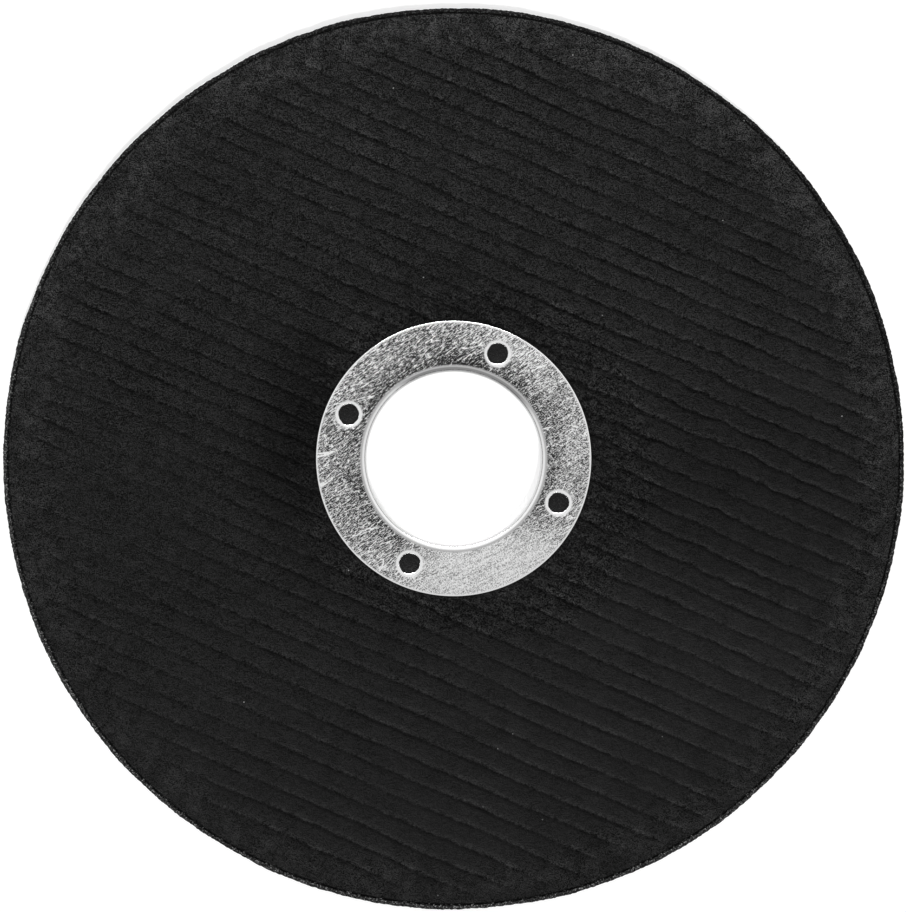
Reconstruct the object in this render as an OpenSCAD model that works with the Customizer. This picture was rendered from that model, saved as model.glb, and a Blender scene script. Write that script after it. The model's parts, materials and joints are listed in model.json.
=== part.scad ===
// Flat cut-off wheel with a creased facing and a pressed steel centre ring, lying on its bare side.
// The origin is on the bore's axis at the underside, and +Z points out of the faced side.

/* [Wheel] */
// Outside diameter of the wheel
wheel_d = 115; // [100:1:230]
// Thickness of the wheel over the facing, without its creases
wheel_t = 3; // [1.6:0.1:6.5]
// Radius of the grit body's two outer edges
edge_r = 0.4; // [0.1:0.05:0.5]

/* [Facing] */
// Thickness of the facing
facing_t = 0.3; // [0.2:0.05:0.6]
// Width of bare grit between the facing and the rim
rim_band = 0.57; // [0.5:0.01:3]
// Distance from one crease to the next
crease_pitch = 2.6; // [2:0.1:6]
// Direction of the creases, from the X axis
crease_angle = -23.5; // [-90:0.5:90]
// Sideways place of the middle crease
crease_offset = 2.15; // [0:0.05:2.6]
// Height of a crease above the facing
crease_h = 0.12; // [0.04:0.01:0.2]
// Width of a crease at its foot
crease_w = 1.3; // [0.6:0.1:1.8]
// Width of the slimmer upper part of a crease
crease_waist_w = 0.4; // [0.2:0.05:0.55]
// Height of the slimmer part's foot above the facing
crease_waist_h = 0.035; // [0.01:0.005:0.035]
// Width of a crease's flat crest
crest_w = 0.08; // [0.04:0.01:0.15]
// Flat border between the creases and the edge of the facing
crease_border = 1.2; // [0.4:0.1:8]
// Flat margin between the creases and the ring's flange
crease_margin = 0.9; // [0.4:0.1:8]

/* [Centre ring] */
// Diameter of the bore for the spindle
bore_d = 22.23; // [16:0.01:25.4]
// Width of the flange, from the bore's wall to its edge
flange_w = 6.385; // [5:0.005:12]
// Thickness of the ring's sheet steel
sheet_t = 0.3; // [0.2:0.05:0.5]
// Inside radius of the bend between flange and neck
bend_r = 0.3; // [0.1:0.05:0.5]
// Radius of the flange's outer edges
flange_edge_r = 0.08; // [0.02:0.01:0.09]
// Depth to which the flange is pressed into the facing
flange_sink = 0.15; // [0.05:0.01:0.19]
// Distance from the neck's end to the underside
neck_short = 0.1; // [0:0.05:0.3]

/* [Pierced holes] */
// Number of holes pierced in the flange
pierce_count = 4; // [2:1:8]
// Clear diameter of a pierced hole
pierce_d = 2.6; // [1:0.1:3]
// Distance of the holes' centres inwards from the middle of the flange's flat part
pierce_inset = 0.15; // [0:0.05:0.5]
// Direction of the first hole, from the X axis
pierce_angle = 67.15; // [0:0.05:90]
// Radius of the rolled edge at a hole's mouth
pierce_mouth_r = 0.28; // [0.05:0.01:0.4]
// Wall of the collar drawn down around a hole
collar_t = 0.2; // [0.1:0.05:0.3]
// Length of a collar below the flange
collar_l = 0.7; // [0.2:0.1:1]

/* [Fits] */
// Radial gap between the neck and the grit body
neck_gap = 0.02; // [0.01:0.01:0.1]
// Radial gap between the flange and the recess in the facing
flange_gap = 0.05; // [0.02:0.01:0.2]
// Gap around and under a collar in its pocket
collar_gap = 0.05; // [0.02:0.01:0.2]

/* [Hidden] */

$fn = 128;

// How far a cutting shape runs past the surface that it cuts
over = 1;

wheel_r = wheel_d / 2;
body_t = wheel_t - facing_t;
facing_r = wheel_r - rim_band;

bore_r = bore_d / 2;
neck_r = bore_r + sheet_t;
body_bore_r = neck_r + neck_gap;
flat_start_r = neck_r + bend_r;
flange_r = bore_r + flange_w;
flange_under_z = wheel_t - flange_sink;
flange_top_z = flange_under_z + sheet_t;
bend_z = flange_under_z - bend_r;

pierce_r = pierce_d / 2;
pierce_circle_r = (flat_start_r + flange_r) / 2 - pierce_inset;
mouth_r = min(pierce_mouth_r, sheet_t);
collar_r = pierce_r + collar_t;
collar_end_z = flange_under_z - collar_l;
pocket_r = collar_r + collar_gap;
pocket_z = collar_end_z - collar_gap;

crease_out_r = facing_r - crease_border;
crease_in_r = flange_r + flange_gap + crease_margin;
crease_steps = ceil(wheel_r / crease_pitch);
// Depth to which a crease is rooted in the facing
crease_root = facing_t / 2;

// Puts a copy at each pierced hole.
module at_pierced_holes() {
    for (i = [0 : pierce_count - 1])
        rotate([0, 0, pierce_angle + i * 360 / pierce_count])
            translate([pierce_circle_r, 0, 0])
                children();
}

// Rectangle whose two outer corners are rounded.
module bar_with_round_outer_corners(inner, outer, low, high, corner_r) {
    translate([inner, low])
        square([outer - corner_r - inner, high - low]);
    translate([inner, low + corner_r])
        square([outer - inner, high - low - 2 * corner_r]);
    for (z = [low + corner_r, high - corner_r])
        translate([outer - corner_r, z])
            circle(r = corner_r);
}

// Bonded grit disc, with a bevelled bore that clears the ring's bend.
module abrasive_body() {
    color([0.13, 0.13, 0.13])
        difference() {
            rotate_extrude()
                difference() {
                    bar_with_round_outer_corners(body_bore_r, wheel_r, 0, body_t, edge_r);
                    translate([body_bore_r, body_t])
                        polygon([[-over, -bend_r - over], [bend_r + over, over], [-over, over]]);
                }
            at_pierced_holes()
                translate([0, 0, pocket_z])
                    cylinder(r = pocket_r, h = body_t - pocket_z + over);
        }
}

// Section of one crease, with its foot rooted in the facing.
module crease_section() {
    polygon([
        [-crease_w / 2, -crease_root],
        [-crease_w / 2, 0],
        [-crease_waist_w / 2, crease_waist_h],
        [-crest_w / 2, crease_h],
        [crest_w / 2, crease_h],
        [crease_waist_w / 2, crease_waist_h],
        [crease_w / 2, 0],
        [crease_w / 2, -crease_root]
    ]);
}

// Straight creases side by side across the whole wheel, at the height of the facing.
module crease_rows() {
    translate([0, 0, wheel_t])
        rotate([90, 0, crease_angle + 90])
            linear_extrude(height = wheel_d, center = true)
                for (i = [-crease_steps : crease_steps])
                    translate([i * crease_pitch + crease_offset, 0])
                        crease_section();
}

// Fibrous facing with raised creases, recessed where the flange is pressed in.
module facing_sheet() {
    color([0.12, 0.12, 0.12])
        difference() {
            union() {
                translate([0, 0, body_t])
                    cylinder(r = facing_r, h = facing_t);
                intersection() {
                    crease_rows();
                    translate([0, 0, body_t])
                        difference() {
                            cylinder(r = crease_out_r, h = facing_t + over);
                            translate([0, 0, -over])
                                cylinder(r = crease_in_r, h = facing_t + 3 * over);
                        }
                }
            }
            translate([0, 0, body_t - over])
                cylinder(r = flat_start_r, h = facing_t + 2 * over);
            translate([0, 0, flange_under_z])
                cylinder(r = flange_r + flange_gap, h = facing_t + over);
            at_pierced_holes()
                translate([0, 0, body_t - over])
                    cylinder(r = pocket_r, h = facing_t + 2 * over);
        }
}

// Flange, bend and neck of the ring as one turned section.
module ring_shell() {
    rotate_extrude() {
        bar_with_round_outer_corners(
            flat_start_r, flange_r, flange_under_z, flange_top_z, flange_edge_r);
        translate([flat_start_r, bend_z])
            intersection() {
                difference() {
                    circle(r = bend_r + sheet_t);
                    circle(r = bend_r);
                }
                translate([-bend_r - sheet_t, 0])
                    square(bend_r + sheet_t);
            }
        translate([bore_r, neck_short])
            square([sheet_t, bend_z - neck_short]);
    }
}

// Clear hole through the flange, widened by a rolled mouth.
module pierced_hole() {
    translate([0, 0, flange_under_z - over])
        cylinder(r = pierce_r, h = sheet_t + 2 * over);
    rotate_extrude()
        difference() {
            translate([0, flange_top_z - mouth_r])
                square([pierce_r + mouth_r, mouth_r + over]);
            translate([pierce_r + mouth_r, flange_top_z - mouth_r])
                circle(r = mouth_r);
        }
}

// Short collar drawn down around a pierced hole.
module collar() {
    translate([0, 0, collar_end_z])
        difference() {
            cylinder(r = collar_r, h = collar_l);
            translate([0, 0, -over])
                cylinder(r = pierce_r, h = collar_l + 2 * over);
        }
}

// Pressed steel ring that lines the bore and grips the facing.
module centre_ring() {
    color([0.7, 0.7, 0.7]) {
        difference() {
            ring_shell();
            at_pierced_holes()
                pierced_hole();
        }
        at_pierced_holes()
            collar();
    }
}

abrasive_body();
facing_sheet();
centre_ring();
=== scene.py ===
"""Looks of a flat cut-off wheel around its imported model: metres, Z up, lying on its bare side."""
import json
import math

import bmesh
import bpy
from mathutils import Matrix, Vector, noise


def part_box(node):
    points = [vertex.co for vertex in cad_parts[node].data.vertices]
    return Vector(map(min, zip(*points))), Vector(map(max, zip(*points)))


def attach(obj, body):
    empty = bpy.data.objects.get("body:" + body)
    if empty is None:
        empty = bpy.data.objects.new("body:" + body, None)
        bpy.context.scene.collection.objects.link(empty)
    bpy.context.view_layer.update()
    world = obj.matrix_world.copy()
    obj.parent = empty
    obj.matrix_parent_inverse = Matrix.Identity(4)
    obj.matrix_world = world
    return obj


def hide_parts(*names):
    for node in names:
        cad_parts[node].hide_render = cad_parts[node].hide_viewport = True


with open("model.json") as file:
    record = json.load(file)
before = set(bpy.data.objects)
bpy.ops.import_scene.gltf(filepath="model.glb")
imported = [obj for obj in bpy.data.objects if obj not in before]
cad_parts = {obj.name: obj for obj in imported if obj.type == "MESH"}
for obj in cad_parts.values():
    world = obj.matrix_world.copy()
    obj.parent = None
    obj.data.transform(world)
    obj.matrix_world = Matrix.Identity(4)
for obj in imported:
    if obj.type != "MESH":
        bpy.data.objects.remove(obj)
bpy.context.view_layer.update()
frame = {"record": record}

MM = 0.001
FULL_TURN = 2 * math.pi


def inscribed_radius(low, high):
    """Radius that stays inside a box on all four sides."""
    return min(high.x, high.y, -low.x, -low.y)


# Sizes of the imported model
BODY_LOW, BODY_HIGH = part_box("abrasive_body")
FACING_LOW, FACING_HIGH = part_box("facing_sheet")
RING_LOW, RING_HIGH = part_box("centre_ring")
MOUNTS = {mount["name"]: mount for mount in frame["record"]["mounts"]}
WHEEL_R = inscribed_radius(BODY_LOW, BODY_HIGH)
BODY_TOP = BODY_HIGH.z
FACING_R = inscribed_radius(FACING_LOW, FACING_HIGH)
FACING_UNDER = FACING_LOW.z
CREST_Z = FACING_HIGH.z
FLANGE_R = inscribed_radius(RING_LOW, RING_HIGH)
FLANGE_TOP = RING_HIGH.z
NECK_END = RING_LOW.z
BORE_R = MOUNTS["bore"]["dims"]["r_mm"] * MM

# Wheel sizes that the boxes don't give, as in the part's source
EDGE_R = 0.4 * MM
CREASE_H = 0.12 * MM
BAND_Z = CREST_Z - CREASE_H
SHEET_T = 0.3 * MM
BEND_R = 0.3 * MM
NECK_GAP = 0.02 * MM
FLANGE_EDGE_R = 0.08 * MM
FLANGE_UNDER = FLANGE_TOP - SHEET_T
FLANGE_GAP = 0.05 * MM
NECK_R = BORE_R + SHEET_T
FLAT_START_R = NECK_R + BEND_R
PIERCE_COUNT = 4
PIERCE_R = 1.3 * MM
PIERCE_INSET = 0.15 * MM
PIERCE_CIRCLE_R = (FLAT_START_R + FLANGE_R) / 2 - PIERCE_INSET
PIERCE_ANGLE = math.radians(67.15)
COLLAR_T = 0.2 * MM
COLLAR_R = PIERCE_R + COLLAR_T
COLLAR_L = 0.7 * MM
COLLAR_END = FLANGE_UNDER - COLLAR_L
COLLAR_GAP = 0.05 * MM
POCKET_R = COLLAR_R + COLLAR_GAP
POCKET_FLOOR = COLLAR_END - COLLAR_GAP
CREASE_PITCH = 2.6 * MM
CREASE_ANGLE = math.radians(-23.5)
CREASE_OFFSET = 2.15 * MM

# Radius at which the finer facing's slightly ragged edge is cut
FACING_EDGE = FACING_R - 0.3 * MM
# Rolled lip of a finer pierced hole, and the shallow dish around it
LIP_R = 0.16 * MM
DISH_W = 0.6 * MM
DISH_DEPTH = 0.045 * MM

# How far a cutting shape runs past the surface that it cuts
OVER = 0.5 * MM
# Points closer than this are joined
JOIN_DISTANCE = 0.001 * MM
# Sides of a small round hole
HOLE_STEPS = 48


def smooth_step(low, high, value):
    """0 below low, 1 above high, and a smooth rise between them."""
    t = min(max((value - low) / (high - low), 0), 1)
    return t * t * (3 - 2 * t)


def bump_at(x, y, centre_x, centre_y, reach_x, reach_y):
    """Bell-shaped weight around a point, in millimetres."""
    return math.exp(-(((x - centre_x) / reach_x) ** 2) - ((y - centre_y) / reach_y) ** 2)


def wave(x, y, layer=0.0):
    """Smooth noise from about -1 to 1; layer picks one of many patterns."""
    return noise.noise(Vector((x, y, layer)))


def finished_mesh(name, bm, smooth_below=35):
    """Makes a shown object from a bmesh, at the origin, smooth where its faces meet at a small angle."""
    mesh = bpy.data.meshes.new(name)
    bm.to_mesh(mesh)
    bm.free()
    mesh.shade_smooth()
    mesh.set_sharp_from_angle(angle=math.radians(smooth_below))
    piece = bpy.data.objects.new(name, mesh)
    bpy.context.scene.collection.objects.link(piece)
    return piece


def combined(name, bm, cutters):
    """Runs booleans on a bmesh and returns a new one. cutters pairs each operation with its bmesh."""
    piece = finished_mesh(name, bm)
    helpers = []
    for operation, cutter in cutters:
        helper = finished_mesh(name + "_cutter", cutter)
        helpers.append(helper)
        step = piece.modifiers.new(operation, "BOOLEAN")
        step.operation = operation
        step.solver = "EXACT"
        step.object = helper
    graph = bpy.context.evaluated_depsgraph_get()
    result = bmesh.new()
    result.from_mesh(piece.evaluated_get(graph).to_mesh())
    for item in [piece, *helpers]:
        mesh = item.data
        bpy.data.objects.remove(item)
        bpy.data.meshes.remove(mesh)
    return result


def turned(profile, steps, closed=True):
    """Spins an outline of (radius, height) points about Z. An open one has both ends on the axis."""
    bm = bmesh.new()
    points = [bm.verts.new((radius, 0, height)) for radius, height in profile]
    followers = points[1:] + points[:1] if closed else points[1:]
    for first, second in zip(points, followers):
        bm.edges.new((first, second))
    bmesh.ops.spin(
        bm, geom=bm.verts[:] + bm.edges[:], cent=(0, 0, 0), axis=(0, 0, 1), dvec=(0, 0, 0),
        angle=FULL_TURN, steps=steps, use_merge=True, use_duplicate=False)
    if not closed:
        bmesh.ops.remove_doubles(bm, verts=bm.verts, dist=JOIN_DISTANCE)
    bmesh.ops.recalc_face_normals(bm, faces=bm.faces)
    return bm


def add_plug(bm, radius, low, high, place=(0, 0), steps=HOLE_STEPS):
    """Adds an upright solid cylinder between two heights."""
    middle = (place[0], place[1], (low + high) / 2)
    bmesh.ops.create_cone(
        bm, cap_ends=True, segments=steps, radius1=radius, radius2=radius, depth=high - low,
        matrix=Matrix.Translation(middle))


def arc(centre_r, centre_z, radius, start, end, count):
    """Points (radius, height) along an arc, with both ends, angles in degrees."""
    points = []
    for i in range(count + 1):
        angle = math.radians(start + (end - start) * i / count)
        points.append((centre_r + radius * math.cos(angle), centre_z + radius * math.sin(angle)))
    return points


def steps_between(start, end, count):
    """Evenly spaced values after start, up to and with end."""
    return [start + (end - start) * (i + 1) / count for i in range(count)]


def pierced_places():
    """Centres of the pierced holes."""
    places = []
    for i in range(PIERCE_COUNT):
        angle = PIERCE_ANGLE + i * FULL_TURN / PIERCE_COUNT
        places.append(Vector((PIERCE_CIRCLE_R * math.cos(angle), PIERCE_CIRCLE_R * math.sin(angle), 0)))
    return places


# Grit body

GRIT_STEPS = 1440
GRIT_SIZE = 0.45 * MM
PIT_DEPTH = 0.12 * MM
RIM_WOBBLE = 0.1 * MM
RIM_WOBBLE_LENGTH = 9 * MM
# How far the shoulder's fine mesh runs on under the facing
SHOULDER_UNDERLAP = 0.2 * MM


def roughen_grit(bm):
    """Pits the rim and the shoulder outside the facing, inwards and downwards only."""
    for vert in bm.verts:
        radius = math.hypot(vert.co.x, vert.co.y)
        at_rim = smooth_step(WHEEL_R - 1.1 * EDGE_R, WHEEL_R - 0.9 * EDGE_R, radius)
        on_shoulder = smooth_step(FACING_EDGE - SHOULDER_UNDERLAP / 2, FACING_EDGE, radius)
        on_shoulder *= smooth_step(0.6 * BODY_TOP, BODY_TOP, vert.co.z)
        spot = Vector((vert.co.x, vert.co.y, 0.3 * vert.co.z)) / GRIT_SIZE
        coarse = smooth_step(-0.4, 0.5, noise.noise(spot * 0.17))
        fine = smooth_step(-0.4, 0.4, noise.noise(spot * 2.3 + Vector((7, 3, 5))))
        pit = 0.45 * coarse + 0.55 * fine
        wobble = wave(vert.co.x / RIM_WOBBLE_LENGTH, vert.co.y / RIM_WOBBLE_LENGTH, 6.1)
        wobble = smooth_step(-0.5, 0.5, wobble)
        outward = Vector((vert.co.x, vert.co.y, 0)).normalized()
        vert.co -= outward * (PIT_DEPTH * pit + RIM_WOBBLE * wobble) * at_rim
        vert.co.z -= PIT_DEPTH * pit * on_shoulder


def make_grit_body():
    """Bonded grit disc with a pitted rim, a bevelled bore and four blind pockets."""
    bore_wall = NECK_R + NECK_GAP
    edge_start = WHEEL_R - EDGE_R
    profile = [(bore_wall, 0)]
    profile += [(radius, 0) for radius in steps_between(bore_wall, edge_start, 5)]
    profile += arc(edge_start, EDGE_R, EDGE_R, -90, 0, 3)[1:]
    profile += [(WHEEL_R, height) for height in steps_between(EDGE_R, BODY_TOP - EDGE_R, 6)]
    profile += arc(edge_start, BODY_TOP - EDGE_R, EDGE_R, 0, 90, 3)[1:]
    shoulder_end = FACING_EDGE - SHOULDER_UNDERLAP
    profile += [(radius, BODY_TOP) for radius in steps_between(edge_start, shoulder_end, 4)]
    profile += [(bore_wall + BEND_R, BODY_TOP), (bore_wall, BODY_TOP - BEND_R)]
    body = turned(profile, GRIT_STEPS)
    roughen_grit(body)
    pockets = bmesh.new()
    for place in pierced_places():
        add_plug(pockets, POCKET_R, POCKET_FLOOR, BODY_TOP + OVER, place)
    return finished_mesh("grit_body", combined("grit_body_blank", body, [("DIFFERENCE", pockets)]))


# Facing

# Places of the mesh lines on one side of a crease and of a cross thread, from its middle
BESIDE_CREASE = [0.12 * MM, 0.3 * MM, 0.62 * MM, 1.0 * MM]
BESIDE_THREAD = [0.22 * MM, 0.8 * MM]
# How far the mesh of the creases runs out past the wheel, and down past the facing's underside
SLAB_MARGIN = 2 * MM
SLAB_DEPTH = MM
FACING_STEPS = 900
FLANGE_RECESS_STEPS = 360
CENTRE_HOLE_STEPS = 192
# Names of the two maps that carry the creases to the facing's finish
CREASE_PLACE = "crease_place"
CREASE_CLEARNESS = "crease_clearness"
# Tallest a wrinkle may stand above the flat bands, in millimetres: just under the flange's top
WRINKLE_LIMIT = (FLANGE_TOP - BAND_Z) / MM - 0.004


def mesh_lines(beside, middle):
    """Places of mesh lines across the whole wheel, repeated at the crease pitch."""
    limit = WHEEL_R + SLAB_MARGIN
    count = math.ceil(limit / CREASE_PITCH) + 1
    offsets = [0, *beside, *(-offset for offset in beside)]
    places = [k * CREASE_PITCH + middle + offset for k in range(-count, count + 1) for offset in offsets]
    return sorted(place for place in places if abs(place) < limit)


def crease_frame():
    """Unit vectors along the creases and across them."""
    along = Vector((math.cos(CREASE_ANGLE), math.sin(CREASE_ANGLE), 0))
    across = Vector((-along.y, along.x, 0))
    return along, across


def from_nearest(place, middle):
    """Distance from the nearest of the lines that are a crease pitch apart."""
    return (place - middle + CREASE_PITCH / 2) % CREASE_PITCH - CREASE_PITCH / 2


# Up to facing_height, x and y are a place on the wheel, and u and v are the same place measured along
# and across the creases. These, the distances and the heights are in millimetres.


def crease_strength(x, y):
    """How clearly the creases stand out, from 0 to about 1."""
    radius = math.hypot(x, y)
    rim_fade = 1.9 + 3.4 * smooth_step(-10, 40, y) + 3.4 * smooth_step(0, 45, -x)
    rim_fade += 3.0 * bump_at(x, y, 55, 6, 14, 20) + 1.8 * bump_at(x, y, -5, -56, 24, 12)
    edge = smooth_step(0.3, rim_fade, FACING_EDGE / MM - radius)
    calm_left = 1 - 0.75 * bump_at(x, y, -43, -4, 14, 15)
    calm_lower_left = 1 - 0.5 * bump_at(x, y, -36, -28, 24, 20)
    calm_top = 1 - 0.26 * smooth_step(0, 34, y)
    soft_upper_left = 1 - 0.25 * bump_at(x, y, -34, 30, 24, 24)
    beside_flange = 1 + 0.2 * bump_at(x, y, 22, 4, 8, 16)
    patches = 0.9 + 0.5 * wave(x / 7, y / 7, 3.1)
    return edge * calm_left * calm_lower_left * calm_top * soft_upper_left * beside_flange * patches


def thread_strength(x, y):
    """How clearly the threads across the creases show, from 0 to about 1."""
    beside_ring = 0.9 * bump_at(x, y, -22, 6, 6.5, 13)
    upper_left = 0.42 * bump_at(x, y, -24, 26, 22, 16)
    far_left = 0.2 * bump_at(x, y, -42, -5, 14, 22)
    return beside_ring + upper_left + far_left


def brick_zone(x, y):
    """Weight of the upper left, where cross threads cut the creases up like brickwork."""
    return bump_at(x, y, -26, 28, 26, 20)


def crease_shift(u, v, x, y):
    """Sideways wander of a crease."""
    slow = 0.3 * wave(u / 11, v / 6, 11.5)
    waviness = 0.3 + 0.9 * bump_at(x, y, 34, 4, 24, 24)
    quick = 0.36 * waviness * wave(u / 1.8, v / 3.2, 23.7)
    step = (u / (CREASE_PITCH / MM) + 0.5) % 1 - 0.5
    return slow + quick + 0.16 * brick_zone(x, y) * step


def crumple(x, y):
    """Height of the small wrinkles that hug the flange."""
    radius = math.hypot(x, y)
    turn = math.atan2(y, x)
    to_right = 0.5 + 0.5 * math.cos(turn - 0.1)
    reach = 3.0 + 5.5 * to_right ** 2
    from_flange = radius - FLANGE_R / MM
    zone = smooth_step(0, 0.5, from_flange) * (1 - smooth_step(0.4 * reach, reach, from_flange))
    if zone <= 0:
        return 0
    bend = 1.5 * wave(x / 2.4, y / 2.4, 41.3)
    rings = 1 - abs(3.0 * wave((radius + bend) / 1.7, turn * 4.5, 31.9))
    spots = 1 - abs(2.8 * wave(x / 2.0, y / 2.0, 37.2))
    return zone * (0.05 + 0.06 * to_right) * (max(rings, 0) + 0.7 * max(spots, 0))


def crease_clearness(u, v, x, y, from_thread):
    """Share of its full height that a crease reaches."""
    uneven = 0.84 + 0.5 * wave(u / 4.6, v / 2.1, 5.3)
    broken = 1 - 0.4 * brick_zone(x, y) * math.exp(-abs(from_thread) / 0.45)
    return uneven * broken * crease_strength(x, y)


def facing_height(u, v, x, y, from_crest, from_thread):
    """Height of the facing above its flat bands."""
    sharp = math.exp(-abs(from_crest) / 0.17)
    wide = math.exp(-abs(from_crest) / 0.55)
    creases = 0.15 * (0.65 * sharp + 0.35 * wide) * crease_clearness(u, v, x, y, from_thread)
    thread = math.exp(-abs(from_thread) / 0.3)
    threads = 0.06 * thread * thread_strength(x, y) * (0.8 + 0.5 * wave(u / 2.2, v / 2.6, 8.8))
    felt = 0.012 * wave(x / 0.9, y / 0.9, 2.2) + 0.02 * wave(x / 5, y / 5, 6.6)
    edge = smooth_step(0, 0.5, FACING_EDGE / MM - math.hypot(x, y))
    height = edge * (creases + threads + felt) + crumple(x, y) - 0.06 * (1 - edge)
    return min(height, WRINKLE_LIMIT)


def creased_slab():
    """Grid whose lines follow the creases, raised to their heights and closed below."""
    along, across = crease_frame()
    columns = mesh_lines(BESIDE_THREAD, 0)
    rows = mesh_lines(BESIDE_CREASE, CREASE_OFFSET)
    bm = bmesh.new()
    bmesh.ops.create_grid(bm, x_segments=len(columns) - 1, y_segments=len(rows) - 1, size=1)
    on_creases = bm.loops.layers.uv.new(CREASE_PLACE)
    clearness = bm.loops.layers.uv.new(CREASE_CLEARNESS)
    for vert in bm.verts:
        # The new grid runs from -1 to 1 on both sides
        u = columns[round((vert.co.x + 1) / 2 * (len(columns) - 1))]
        v = rows[round((vert.co.y + 1) / 2 * (len(rows) - 1))]
        flat = along * u + across * v
        from_crest = from_nearest(v, CREASE_OFFSET) / MM
        from_thread = from_nearest(u, 0) / MM
        x = flat.x / MM
        y = flat.y / MM
        shift = crease_shift(u / MM, v / MM, x, y) * MM
        height = facing_height(u / MM, v / MM, x, y, from_crest, from_thread) * MM
        vert.co = flat + across * shift + Vector((0, 0, BAND_Z + height))
        clear = crease_clearness(u / MM, v / MM, x, y, from_thread)
        for loop in vert.link_loops:
            loop[on_creases].uv = (u / CREASE_PITCH, (v - CREASE_OFFSET) / CREASE_PITCH)
            loop[clearness].uv = (clear, 0)
    border = [edge for edge in bm.edges if edge.is_boundary]
    skirt = bmesh.ops.extrude_edge_only(bm, edges=border)["geom"]
    for vert in skirt:
        if isinstance(vert, bmesh.types.BMVert):
            vert.co.z = FACING_UNDER - SLAB_DEPTH
    hem = [edge for edge in skirt if isinstance(edge, bmesh.types.BMEdge) and edge.is_boundary]
    bmesh.ops.contextual_create(bm, geom=hem)
    bmesh.ops.recalc_face_normals(bm, faces=bm.faces)
    return bm


def facing_outline():
    """Tall disc with the facing's slightly ragged edge, which the slab is cut to."""
    bm = bmesh.new()
    bmesh.ops.create_circle(bm, cap_ends=True, segments=FACING_STEPS, radius=FACING_R)
    for vert in bm.verts:
        ragged = 0.05 * MM * wave(vert.co.x / (0.8 * MM), vert.co.y / (0.8 * MM), 14.2)
        vert.co *= (FACING_EDGE + ragged) / FACING_R
    bmesh.ops.translate(bm, verts=bm.verts, vec=(0, 0, FACING_UNDER))
    raised = bmesh.ops.extrude_face_region(bm, geom=bm.faces[:])["geom"]
    top = [vert for vert in raised if isinstance(vert, bmesh.types.BMVert)]
    bmesh.ops.translate(bm, verts=top, vec=(0, 0, CREST_Z + OVER - FACING_UNDER))
    bmesh.ops.recalc_face_normals(bm, faces=bm.faces)
    return bm


def facing_holes():
    """Plugs that cut the facing's centre hole and four pocket holes."""
    bm = bmesh.new()
    low = FACING_UNDER - OVER
    high = CREST_Z + OVER
    add_plug(bm, FLAT_START_R, low, high, steps=CENTRE_HOLE_STEPS)
    for place in pierced_places():
        add_plug(bm, POCKET_R, low, high, place)
    return bm


def flange_recess():
    """Disc that cuts the recess in which the flange is seated."""
    bm = bmesh.new()
    add_plug(bm, FLANGE_R + FLANGE_GAP, FLANGE_UNDER, CREST_Z + OVER, steps=FLANGE_RECESS_STEPS)
    return bm


def make_facing():
    """Creased fibrous facing, cut to its outline and recessed for the flange."""
    cutters = [
        ("INTERSECT", facing_outline()),
        ("DIFFERENCE", facing_holes()),
        ("DIFFERENCE", flange_recess()),
    ]
    facing = combined("facing_blank", creased_slab(), cutters)
    return finished_mesh("facing", facing, smooth_below=50)


# Centre ring

RING_STEPS = 360


def ring_blank():
    """Flange, bend and neck, turned from one outline."""
    bend_z = FLANGE_UNDER - BEND_R
    edge_start = FLANGE_R - FLANGE_EDGE_R
    outline = [(BORE_R, NECK_END), (NECK_R, NECK_END), (NECK_R, bend_z)]
    outline += arc(FLAT_START_R, bend_z, BEND_R, 180, 90, 6)[1:]
    outline += arc(edge_start, FLANGE_UNDER + FLANGE_EDGE_R, FLANGE_EDGE_R, -90, 0, 4)
    outline += arc(edge_start, FLANGE_TOP - FLANGE_EDGE_R, FLANGE_EDGE_R, 0, 90, 4)
    outline += arc(FLAT_START_R, bend_z, BEND_R + SHEET_T, 90, 180, 10)
    return turned(outline, RING_STEPS)


def collar_blanks():
    """Solid plugs that the pierced collars are cut from."""
    bm = bmesh.new()
    for place in pierced_places():
        add_plug(bm, COLLAR_R, COLLAR_END, FLANGE_TOP - 0.5 * SHEET_T, place)
    return bm


def punch_outline():
    """Half outline of a punch: its shaft, the rolled lip, the dish and a head above the flange."""
    lip_end = PIERCE_R + LIP_R
    outline = [(0, COLLAR_END - OVER), (PIERCE_R, COLLAR_END - OVER)]
    outline += arc(lip_end, FLANGE_TOP - DISH_DEPTH - LIP_R, LIP_R, 180, 90, 6)
    for part in steps_between(0, 1, 7):
        depth = DISH_DEPTH * (0.53 + 0.5 * math.cos(math.pi * part)) - 0.03 * DISH_DEPTH
        outline.append((lip_end + part * DISH_W, FLANGE_TOP - depth + 0.003 * MM * part))
    outline += [(lip_end + DISH_W, FLANGE_TOP + OVER), (0, FLANGE_TOP + OVER)]
    return outline


def piercing_punches():
    """Punches that cut the pierced holes, each a little out of round in its own way."""
    bm = bmesh.new()
    for number, place in enumerate(pierced_places()):
        punch = turned(punch_outline(), HOLE_STEPS, closed=False)
        for vert in punch.verts:
            outward = Vector((vert.co.x, vert.co.y, 0))
            # The points on the axis stay there
            if outward.length > 0.5 * PIERCE_R:
                outward.normalize()
                uneven = 0.1 * MM * wave(1.6 * outward.x, 1.6 * outward.y, 5 * number + 0.7)
                uneven += 0.05 * MM * wave(4 * outward.x, 4 * outward.y, 5 * number + 2.7)
                vert.co += outward * uneven
        bmesh.ops.translate(punch, verts=punch.verts, vec=place)
        shape = bpy.data.meshes.new("punch")
        punch.to_mesh(shape)
        punch.free()
        bm.from_mesh(shape)
        bpy.data.meshes.remove(shape)
    return bm


def make_ring():
    """Pressed ring with four pierced holes whose edges are drawn down into collars."""
    cutters = [("UNION", collar_blanks()), ("DIFFERENCE", piercing_punches())]
    ring = combined("ring_blank", ring_blank(), cutters)
    return finished_mesh("ring", ring, smooth_below=40)


# Materials


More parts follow.
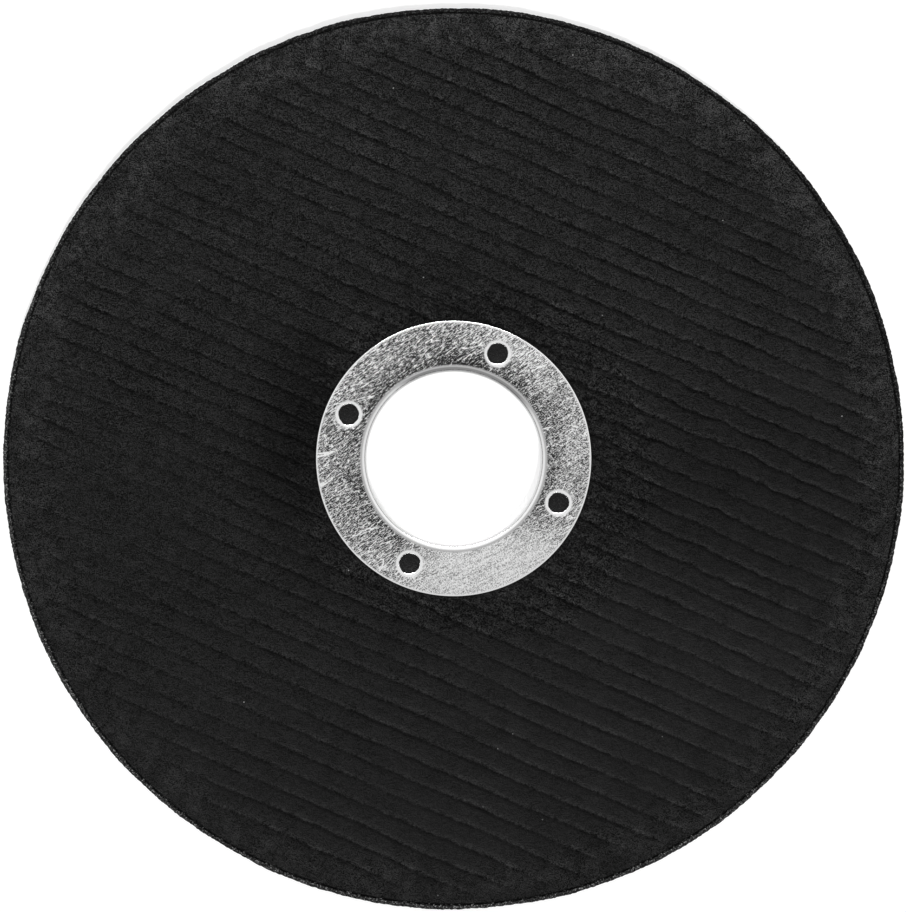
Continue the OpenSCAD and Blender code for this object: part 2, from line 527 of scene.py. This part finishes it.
class Value:
    """One output of a node, worked on with ordinary operators."""

    def __init__(self, nodes, socket):
        self.nodes = nodes
        self.socket = socket

    def maths(self, operation, *numbers):
        return self.nodes.node("ShaderNodeMath", {"operation": operation}, dict(enumerate(numbers)))

    def __add__(self, other):
        return self.maths("ADD", self, other)

    __radd__ = __add__

    def __sub__(self, other):
        return self.maths("SUBTRACT", self, other)

    def __rsub__(self, other):
        return self.maths("SUBTRACT", other, self)

    def __mul__(self, other):
        return self.maths("MULTIPLY", self, other)

    __rmul__ = __mul__

    def __truediv__(self, other):
        return self.maths("DIVIDE", self, other)

    def __pow__(self, other):
        return self.maths("POWER", self, other)

    def __abs__(self):
        return self.maths("ABSOLUTE", self)

    def at_least(self, other):
        return self.maths("MAXIMUM", self, other)

    def at_most(self, other):
        return self.maths("MINIMUM", self, other)

    def fraction(self):
        return self.maths("FRACT", self)

    def rise(self, low, high):
        """0 below low, 1 above high, smooth between them."""
        settings = {"interpolation_type": "SMOOTHSTEP"}
        sockets = {"Value": self, "From Min": low, "From Max": high}
        return self.nodes.node("ShaderNodeMapRange", settings, sockets)

    def beside(self, name):
        """Another output of the same node."""
        return Value(self.nodes, self.socket.node.outputs[name])


class Nodes:
    """The nodes of one material or of the world."""

    def __init__(self, owner):
        owner.use_nodes = True
        self.tree = owner.node_tree
        self.tree.nodes.clear()

    def node(self, kind, settings=None, sockets=None, output=0):
        """Adds a node, sets it, then fills or links its sockets. Returns one of its outputs."""
        made = self.tree.nodes.new(kind)
        for name, setting in (settings or {}).items():
            setattr(made, name, setting)
        for name, content in (sockets or {}).items():
            self.fill(made.inputs[name], content)
        return Value(self, made.outputs[output]) if made.outputs else None

    def fill(self, socket, content):
        """Links a value to a socket, or sets the socket to a plain number or colour."""
        if isinstance(content, Value):
            self.tree.links.new(content.socket, socket)
        else:
            socket.default_value = content

    def part(self, vector, name):
        """X, Y or Z of a vector."""
        return self.node("ShaderNodeSeparateXYZ", {}, {"Vector": vector}, name)

    def red(self, colour):
        """The red part of a colour. On a cell's random colour it is a random number for the cell."""
        return self.node("ShaderNodeSeparateColor", {}, {"Color": colour}, "Red")

    def grey(self, level):
        """A colour with the same level in its three parts."""
        return self.node("ShaderNodeCombineColor", {}, {"Red": level, "Green": level, "Blue": level})


class Finish(Nodes):
    """A material around one Principled shader, on the object's own coordinates."""

    def __init__(self, name):
        self.material = bpy.data.materials.new(name)
        super().__init__(self.material)
        surface = self.node("ShaderNodeBsdfPrincipled")
        self.shader = surface.socket.node
        self.node("ShaderNodeOutputMaterial", {}, {"Surface": surface})
        self.place = self.node("ShaderNodeTexCoord", {}, {}, "Object")
        self.x = self.part(self.place, "X")
        self.y = self.part(self.place, "Y")
        self.radius = (self.x * self.x + self.y * self.y) ** 0.5

    def surface(self, **sockets):
        """Fills the shader's sockets; underscores stand for spaces."""
        for name, content in sockets.items():
            self.fill(self.shader.inputs[name.replace("_", " ")], content)

    def relief(self, height):
        """Bumps the surface by a height in metres."""
        sockets = {"Height": height, "Distance": 1.0, "Strength": 1.0}
        self.surface(Normal=self.node("ShaderNodeBump", {}, sockets))

    def laid(self, degrees, stretch):
        """The object's coordinates, stretched along a direction in the wheel's plane."""
        angle = math.radians(degrees)
        sockets = {"Vector": self.place, "Rotation": (0, 0, angle)}
        turned_by = self.node("ShaderNodeMapping", {"vector_type": "TEXTURE"}, sockets)
        # The shift keeps patterns that are laid in different directions apart
        sockets = {"Vector": turned_by, "Scale": (1 / stretch, 1, 1), "Location": (angle, 0, 0)}
        return self.node("ShaderNodeMapping", {}, sockets)

    def grain(self, size, where=None, detail=2.0, roughness=0.5):
        """Smooth noise from 0 to 1 with cells of about that size in metres."""
        sockets = {"Vector": where or self.place, "Scale": 1 / size}
        sockets |= {"Detail": detail, "Roughness": roughness}
        return self.node("ShaderNodeTexNoise", {"noise_dimensions": "3D"}, sockets)

    def threads(self, size, degrees, stretch, width, detail=1.0):
        """Thin winding lines, 1 on a line, laid along a direction."""
        from_line = abs(self.grain(size, self.laid(degrees, stretch), detail) - 0.5)
        return 1 - from_line.rise(0.2 * width, width)

    def flakes(self, size, degrees, stretch):
        """Long cells laid along a direction: 0 in the middle of each, higher between them."""
        settings = {"feature": "F1", "voronoi_dimensions": "2D"}
        sockets = {"Vector": self.laid(degrees, stretch), "Scale": 1 / size}
        return self.node("ShaderNodeTexVoronoi", settings, sockets, "Distance")

    def cells(self, size):
        """Distance from the middle of small cells, relative to their size in metres."""
        sockets = {"Vector": self.place, "Scale": 1 / size}
        return self.node("ShaderNodeTexVoronoi", {"feature": "F1"}, sockets, "Distance")

    def specks(self, size, share, radius):
        """Small dots: share of the cells hold one, and radius is relative to a cell."""
        distance = self.cells(size)
        chosen = self.red(distance.beside("Color"))
        return chosen.rise(1 - share, 1 - 0.5 * share) * (1 - distance.rise(0.5 * radius, radius))

    def patch(self, centre_x, centre_y, reach_x, reach_y):
        """1 at a place in millimetres, falling to 0 at its reach."""
        x = (self.x - centre_x * MM) / (reach_x * MM)
        y = (self.y - centre_y * MM) / (reach_y * MM)
        return 1 - (x * x + y * y).rise(0, 1)


# Base greys of the facing and of the fuzz near its rim
FACING_GREY = 0.0119
FUZZ_GREY = 0.0112


def facing_finish():
    """Black pressed fibre: fine grain, creases with painted highlight and shade, a paler fuzzy rim and a
    few pale specks.
    """
    f = Finish("black_fibre_facing")

    # Noise from fine to broad, thin fibres in three directions and pale flecks
    fine = f.grain(0.15 * MM, detail=1).rise(0.33, 0.67) - 0.5
    coarse = f.grain(0.36 * MM, detail=2, roughness=0.6).rise(0.3, 0.7) - 0.5
    mottle = f.grain(1.1 * MM, detail=2, roughness=0.55).rise(0.3, 0.7) - 0.5
    cloud = f.grain(2.4 * MM, detail=3, roughness=0.6)
    broad = f.grain(14 * MM, detail=1) - 0.5
    fibre = f.threads(0.5 * MM, 12, 2.4, 0.05)
    for degrees in (66, 131):
        fibre = fibre.at_least(f.threads(0.5 * MM, degrees, 2.4, 0.05))
    flecks = f.grain(0.19 * MM, detail=1).rise(0.6, 0.72)

    # Zones of the wheel, 1 where each is strongest
    from_edge = (FACING_EDGE - f.radius) / MM
    from_flange = (f.radius - FLANGE_R) / MM
    upper_left = ((f.y - 0.55 * f.x) / MM).rise(-50, 55)
    upper = (f.y / MM).rise(-40, 50)
    right = (f.x / FACING_R).rise(-0.1, 0.4)
    crumpled = 1 - from_flange.rise(2.0 + 2 * right, 5.5 + 5.5 * right)
    rim_reach = 2.5 + 7 * f.grain(9 * MM, detail=2)
    fuzzy = (1 - (from_edge / rim_reach).rise(0.3, 1.1)) * cloud.rise(0.36, 0.6)
    rim_zone = (1 - (from_edge / rim_reach).rise(0.5, 1.3)) * (0.3 + 1.0 * upper)

    # Grain, rougher at the upper left, near the rim and in the crumpled zone
    uneven = 0.7 + 0.65 * f.grain(2.6 * MM, detail=2, roughness=0.6).rise(0.35, 0.65)
    rougher = upper_left.at_least(1.75 * crumpled).at_least(rim_zone) * uneven
    grain = (1.05 * fine + 0.3 * fibre - 0.1) * (0.74 + 1.4 * rougher) + 0.5 * flecks * rougher
    grain = grain + coarse * (0.32 + 0.75 * rougher) + mottle * (0.16 + 0.36 * rougher)
    tufts = f.grain(0.8 * MM, detail=2, roughness=0.6).rise(0.54, 0.7) * (0.4 + 0.6 * right)
    hollows = 1 - f.grain(0.6 * MM, f.laid(-35, 2.2), detail=2, roughness=0.6).rise(0.3, 0.46)
    grain = grain + crumpled * (1.3 * tufts - 0.5 * hollows + 0.4 * mottle + 0.8 * fibre)
    grain = grain + 1.3 * crumpled * (cloud - 0.5)

    # Painted highlight as a pale line above each crease and painted shade as a dark line below it
    place = f.part(f.node("ShaderNodeUVMap", {"uv_map": CREASE_PLACE}), "Y")
    clear = f.part(f.node("ShaderNodeUVMap", {"uv_map": CREASE_CLEARNESS}), "X").at_most(1.3)
    ragged = 0.2 * coarse + 0.18 * fine + 0.22 * mottle
    beside = ((place + 0.5).fraction() - 0.5) * (CREASE_PITCH / MM) + ragged
    crest_highlight_band = 1 - abs(beside - 0.3).rise(0.1, 0.5)
    # below marks the painted shade, a dark line under each crease
    below = 1 - abs(beside + 0.17).rise(0.08, 0.38)
    crease_shade_depth = 0.36 + 0.6 * upper_left + 0.1 * crumpled * right
    crest_highlight = 0.3 * crest_highlight_band * (0.7 + 0.8 * fibre) * (1 - 0.7 * upper_left)
    # Painted crease light: highlight on the crests, shade below them
    shade = 1 + clear * (crest_highlight - crease_shade_depth * below)

    # Grey level, with the fuzz, the paler and darker zones, painted shade at the flange and the outer
    # edge, and the specks
    level = FACING_GREY * (1 + grain.at_least(-0.85) + 0.8 * (cloud - 0.5) + 0.35 * broad) * shade
    fuzz = 0.85 + 2 * fine + 1.1 * coarse + 1.2 * mottle + 0.8 * flecks
    level = level * (1 + 0.05 * f.y / FACING_R) + FUZZ_GREY * fuzzy * (0.35 + 0.65 * upper) * fuzz
    zones = [
        (0.12, f.patch(-28, -2, 26, 28)),
        (0.22, f.patch(34, -4, 22, 18)),
        (-0.05, f.patch(34, -24, 22, 18)),
        (0.07, f.patch(-30, 28, 26, 22)),
        (0.2, f.patch(1, 20, 12, 6)),
        (0.26, crumpled),
    ]
    for darker, zone in zones:
        level = level * (1 - darker * zone)
    near_ring = 1 - from_flange.rise(0, 14)
    # Painted shade: a thin dark line just outside the flange, deeper towards the top
    flange_gap_shade = 1 - from_flange.rise(0.08, 0.5)
    level = level * (1 - near_ring * (0.18 + 0.5 * f.patch(-23, 6, 12, 18)))
    level = level * (1 - (0.2 + 0.5 * upper) * flange_gap_shade)
    # Painted shade: the facing darkens in its last 0.15 mm before the outer edge
    level = level * (0.1 + 0.9 * from_edge.rise(0.02, 0.15))
    level = level * (1 - 0.8 * f.specks(2.7 * MM, 0.1, 0.07)) + 0.28 * f.specks(1.9 * MM, 0.08, 0.06)
    f.surface(Base_Color=f.grey(level.at_least(0.001)), Roughness=0.9, Specular_IOR_Level=0.08)

    # Relief in millimetres
    creased = f.threads(1.2 * MM, -36, 2.4, 0.09, 2).at_least(0.7 * f.threads(1.4 * MM, 78, 1.6, 0.08, 2))
    height = (0.045 * fine + 0.08 * coarse) * (0.65 + 0.7 * upper_left.at_least(crumpled))
    height = height + crumpled * (0.3 * creased + 0.4 * (cloud - 0.5))
    f.relief(height * MM)
    return f.material


def grit_finish():
    """Bonded grit: black resin with small grey grains, painted paler on the lit lower side, with painted
    shade at the facing's edge and over the rim.
    """
    f = Finish("bonded_grit")
    cells = f.cells(0.18 * MM)
    tone = f.red(cells.beside("Color"))
    rounded = 1 - cells.rise(0.1, 0.7)
    fine = f.grain(0.14 * MM, detail=1).rise(0.35, 0.65)

    # Zones: the lit side, painted paler, the two lines of painted shade, and what the facing covers
    beyond = (f.radius - FACING_EDGE) / MM
    # Painted light: grains and grit paler towards the lower side, which faces the light
    painted_lit_side = ((f.x * -0.34 - f.y * 0.94) / FACING_R).rise(-0.9, 0.8)
    broken = f.grain(0.45 * MM, detail=1).rise(0.36, 0.52)
    # Painted shade: a broken dark line where the facing steps down to the grit
    facing_step_shade = (1 - beyond.rise(0.18, 0.34)) * (0.35 + 0.65 * broken)
    # Painted shade: a dark line on the rim's rounded top edge, weaker on the lit side
    rim_edge_shade = 1 - ((f.part(f.place, "Z") - BODY_TOP) / MM).rise(-0.24, -0.08)
    pressed = 1 - beyond.rise(-3, -1.5)

    grains = tone.rise(0.35, 0.95) * rounded * (0.08 + 0.25 * painted_lit_side)
    level = 0.001 + grains + (0.01 + 0.034 * painted_lit_side) * fine
    level = level * (1 - 0.98 * facing_step_shade) * (1 - (0.98 - 0.6 * painted_lit_side) * rim_edge_shade)
    level = level * (1 - pressed) + pressed * (0.007 + 0.08 * grains + 0.008 * fine)
    level = level + 0.4 * f.specks(0.9 * MM, 0.006, 0.16)
    f.surface(Base_Color=f.grey(level), Roughness=0.8, Specular_IOR_Level=0.06)
    f.relief((0.05 * rounded + 0.03 * fine) * MM)
    return f.material


def ring_finish():
    """Plated steel: short slanting marks, fine scratches, painted highlights on the edges and the bore's
    lip, and one smoother sector.
    """
    f = Finish("plated_steel_ring")

    # Marks, scratches and unevenness
    slanting = f.flakes(0.155 * MM, 36, 4.5)
    crossing = f.flakes(0.19 * MM, -20, 2.2)
    strokes = f.grain(0.2 * MM, f.laid(38, 14), detail=0)
    scratches = f.threads(1.5 * MM, 48, 9, 0.009, 0).at_least(f.threads(1.7 * MM, 17, 11, 0.008, 0))
    scratches = scratches * f.grain(2.2 * MM, detail=1).rise(0.46, 0.56)
    long_lines = f.grain(0.2 * MM, f.laid(25, 14), detail=1)
    pits = f.grain(0.1 * MM, detail=0)
    blotches = f.grain(1.0 * MM, detail=3, roughness=0.6)
    clouds = f.grain(4.5 * MM, detail=2)

    # Zones of the flange
    from_wall = (f.radius - BORE_R) / MM
    outwards = from_wall.rise(0.5, 4.5)
    smooth_sector = f.patch(5.5, -15.5, 15, 10)
    crossed = 0.5 * f.patch(15, 4, 9, 12)
    paler_top = f.patch(6.5, 13.5, 9, 8)
    darker_top = f.patch(-2, 13.5, 9, 5)
    paler_lower_left = f.patch(-9, -13, 9, 7)

    # Level of the worn skin and of the smoother sector
    marks = slanting * (1 - crossed) + crossing * crossed - 0.4
    worn = 0.22 + 1.25 * marks + 1.9 * (pits - 0.5) + 0.6 * (strokes - 0.5)
    worn = worn + 0.12 * (blotches - 0.5) + 0.25 * (clouds - 0.5) + 0.9 * scratches
    worn = worn + 0.04 * f.x / FLANGE_R + 0.26 * (outwards - 0.5) * (1 + paler_top)
    worn = worn - 0.1 * darker_top + 0.07 * paler_lower_left
    calm = 0.79 + 0.9 * (long_lines - 0.5) + 0.3 * (blotches - 0.5) + 1.8 * (pits - 0.5)
    level = worn * (1 - smooth_sector) + calm * smooth_sector
    level = level.at_least(0.025).at_most(0.95)

    # Painted highlight: the outer edge and the hole edges are made nearly white
    painted_edge_highlight = ((f.radius - FLANGE_R) / MM).rise(-0.36, -0.1)
    for place in pierced_places():
        x = f.x - place.x
        y = f.y - place.y
        from_hole = ((x * x + y * y) ** 0.5 - PIERCE_R) / MM
        painted_edge_highlight = painted_edge_highlight.at_least(1 - from_hole.rise(0.3, 0.58))
    level = level * (1 - painted_edge_highlight) + 0.98 * painted_edge_highlight

    # Rounded lip of the bore, with a painted highlight along it and a painted dark reflection on its top
    # side
    lip = 1 - from_wall.rise(0.68, 0.92)
    lip_highlight = from_wall.rise(0.08, 0.24) * (1 - from_wall.rise(0.42, 0.6))
    lip_dark_reflection = ((f.y + 0.17 * f.x) / BORE_R).rise(0.6, 0.88)
    lip_level = 0.56 + 0.42 * lip_highlight * (1 - 0.9 * lip_dark_reflection)
    lip_level = lip_level - 0.24 * lip_dark_reflection * (1 - from_wall.rise(0.45, 0.6))
    level = level * (1 - lip) + lip * lip_level
    polish = painted_edge_highlight.at_least(lip)

    level = level * (1 - 0.9 * f.specks(1.4 * MM, 0.02, 0.07))
    f.surface(Base_Color=f.grey(level), Metallic=1.0, Roughness=0.38 - 0.2 * polish)
    f.relief(0.005 * marks * (1 - 0.7 * smooth_sector) * MM)
    return f.material


# Glow that lifts the floor to white where no shadow falls
FLOOR_LIFT = 0.26


def floor_finish():
    """Pale matt floor, white to the camera wherever no shadow falls, and clear from below."""
    f = Finish("pale_floor")
    seen = f.node("ShaderNodeLightPath", {}, {}, "Is Camera Ray")
    seen = seen.at_least(seen.beside("Is Glossy Ray")).at_least(seen.beside("Is Transmission Ray"))
    f.surface(Base_Color=(0.8, 0.8, 0.8, 1), Roughness=0.9)
    f.surface(Emission_Color=f.grey(FLOOR_LIFT * seen), Emission_Strength=1.0)
    clear = f.node("ShaderNodeBsdfTransparent")
    below = f.node("ShaderNodeNewGeometry", {}, {}, "Backfacing")
    pale = Value(f, f.shader.outputs[0])
    output = f.shader.outputs[0].links[0].to_socket
    f.fill(output, f.node("ShaderNodeMixShader", {}, {0: below, 1: pale, 2: clear}))
    return f.material


# Floor, light and camera

FLOOR_SIZE = 1.5
# The floor lies just below the wheel, so that the two never share a plane
FLOOR_GAP = 0.02 * MM
LOW_LAMP_PLACE = Vector((-0.05, 0.808, 0.187))
LOW_LAMP_WIDTH = 0.9
LOW_LAMP_HEIGHT = 0.25
LOW_LAMP_POWER = 12.5
HIGH_LAMP_PLACE = Vector((0.085, -0.36, 0.77))
HIGH_LAMP_SPREAD = math.radians(7)
HIGH_LAMP_POWER = 1.42
# The photograph's longer side and its middle, and the wheel's middle and width in it, in pixels
FRAME_PX = 912
PHOTO_MIDDLE = Vector((453.0, 456.0))
WHEEL_IN_PHOTO = Vector((453.7, 458.6))
WHEEL_SPAN_PX = 903.0
# Focal length and sensor width in millimetres
LENS = 100.0
SENSOR = 36.0
NEAREST_SEEN = 0.01
FARTHEST_SEEN = 20.0


def make_floor():
    """Wide floor just below the wheel, facing up."""
    bm = bmesh.new()
    bmesh.ops.create_grid(bm, x_segments=8, y_segments=8, size=FLOOR_SIZE / 2)
    bmesh.ops.translate(bm, verts=bm.verts, vec=(0, 0, -FLOOR_GAP))
    floor = finished_mesh("floor", bm)
    if floor.data.polygons[0].normal.z < 0:
        floor.data.flip_normals()
    floor.data.materials.append(floor_finish())


def make_world():
    """Soft sky, palest overhead and beyond the top of the picture, and paler still in the metal."""
    world = bpy.data.worlds.new("soft_sky")
    bpy.context.scene.world = world
    world.cycles.sampling_method = "NONE"
    sky = Nodes(world)
    towards = sky.node("ShaderNodeTexCoord", {}, {}, "Generated")
    height = sky.part(towards, "Z")
    beyond_top = sky.part(towards, "Y").rise(-0.7, 0.9)
    strength = 0.03 + 0.2 * beyond_top + 0.65 * height.rise(0.65, 0.97)
    in_metal = 0.06 + 0.3 * beyond_top + 0.6 * height.rise(0.05, 0.4)
    seen = sky.node("ShaderNodeLightPath", {}, {}, "Is Camera Ray")
    in_metal = in_metal * seen.beside("Is Glossy Ray")
    strength = strength.at_least(seen).at_least(in_metal)
    background = sky.node("ShaderNodeBackground", {}, {"Color": (1, 1, 1, 1), "Strength": strength})
    sky.node("ShaderNodeOutputWorld", {}, {"Surface": background})


def add_lamp(lamp, place):
    """Puts a lamp at a place, aimed at the wheel, and returns its object."""
    holder = bpy.data.objects.new(lamp.name, lamp)
    holder.location = place
    holder.rotation_euler = (-place).to_track_quat("-Z", "Y").to_euler()
    bpy.context.scene.collection.objects.link(holder)
    return holder


def make_lamps():
    """One low soft lamp beyond the top of the picture and one high lamp that casts the shadow."""
    low = bpy.data.lights.new("low_lamp", "AREA")
    low.shape = "RECTANGLE"
    low.size = LOW_LAMP_WIDTH
    low.size_y = LOW_LAMP_HEIGHT
    low.energy = LOW_LAMP_POWER
    low.use_shadow = False
    add_lamp(low, LOW_LAMP_PLACE)
    high = bpy.data.lights.new("high_lamp", "SUN")
    high.energy = HIGH_LAMP_POWER
    high.angle = HIGH_LAMP_SPREAD
    add_lamp(high, HIGH_LAMP_PLACE).visible_glossy = False


def make_camera():
    """Looks straight down, so that the wheel fills the frame as in the photograph."""
    lens = bpy.data.cameras.new("camera")
    lens.lens = LENS
    lens.sensor_width = SENSOR
    lens.clip_start = NEAREST_SEEN
    lens.clip_end = FARTHEST_SEEN
    camera = bpy.data.objects.new("camera", lens)
    metres_per_px = 2 * WHEEL_R / WHEEL_SPAN_PX
    distance = FRAME_PX * metres_per_px * LENS / SENSOR
    off_centre = (WHEEL_IN_PHOTO - PHOTO_MIDDLE) * metres_per_px
    camera.location = (-off_centre.x, off_centre.y, BODY_TOP - EDGE_R + distance)
    bpy.context.scene.collection.objects.link(camera)
    bpy.context.scene.camera = camera


def dress(piece, node, material):
    """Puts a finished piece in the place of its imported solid."""
    piece.data.materials.clear()
    piece.data.materials.append(material)
    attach(piece, "root")
    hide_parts(node)


dress(make_grit_body(), "abrasive_body", grit_finish())
dress(make_facing(), "facing_sheet", facing_finish())
dress(make_ring(), "centre_ring", ring_finish())

bpy.context.scene.view_settings.view_transform = "Standard"
make_floor()
make_world()
make_lamps()
make_camera()
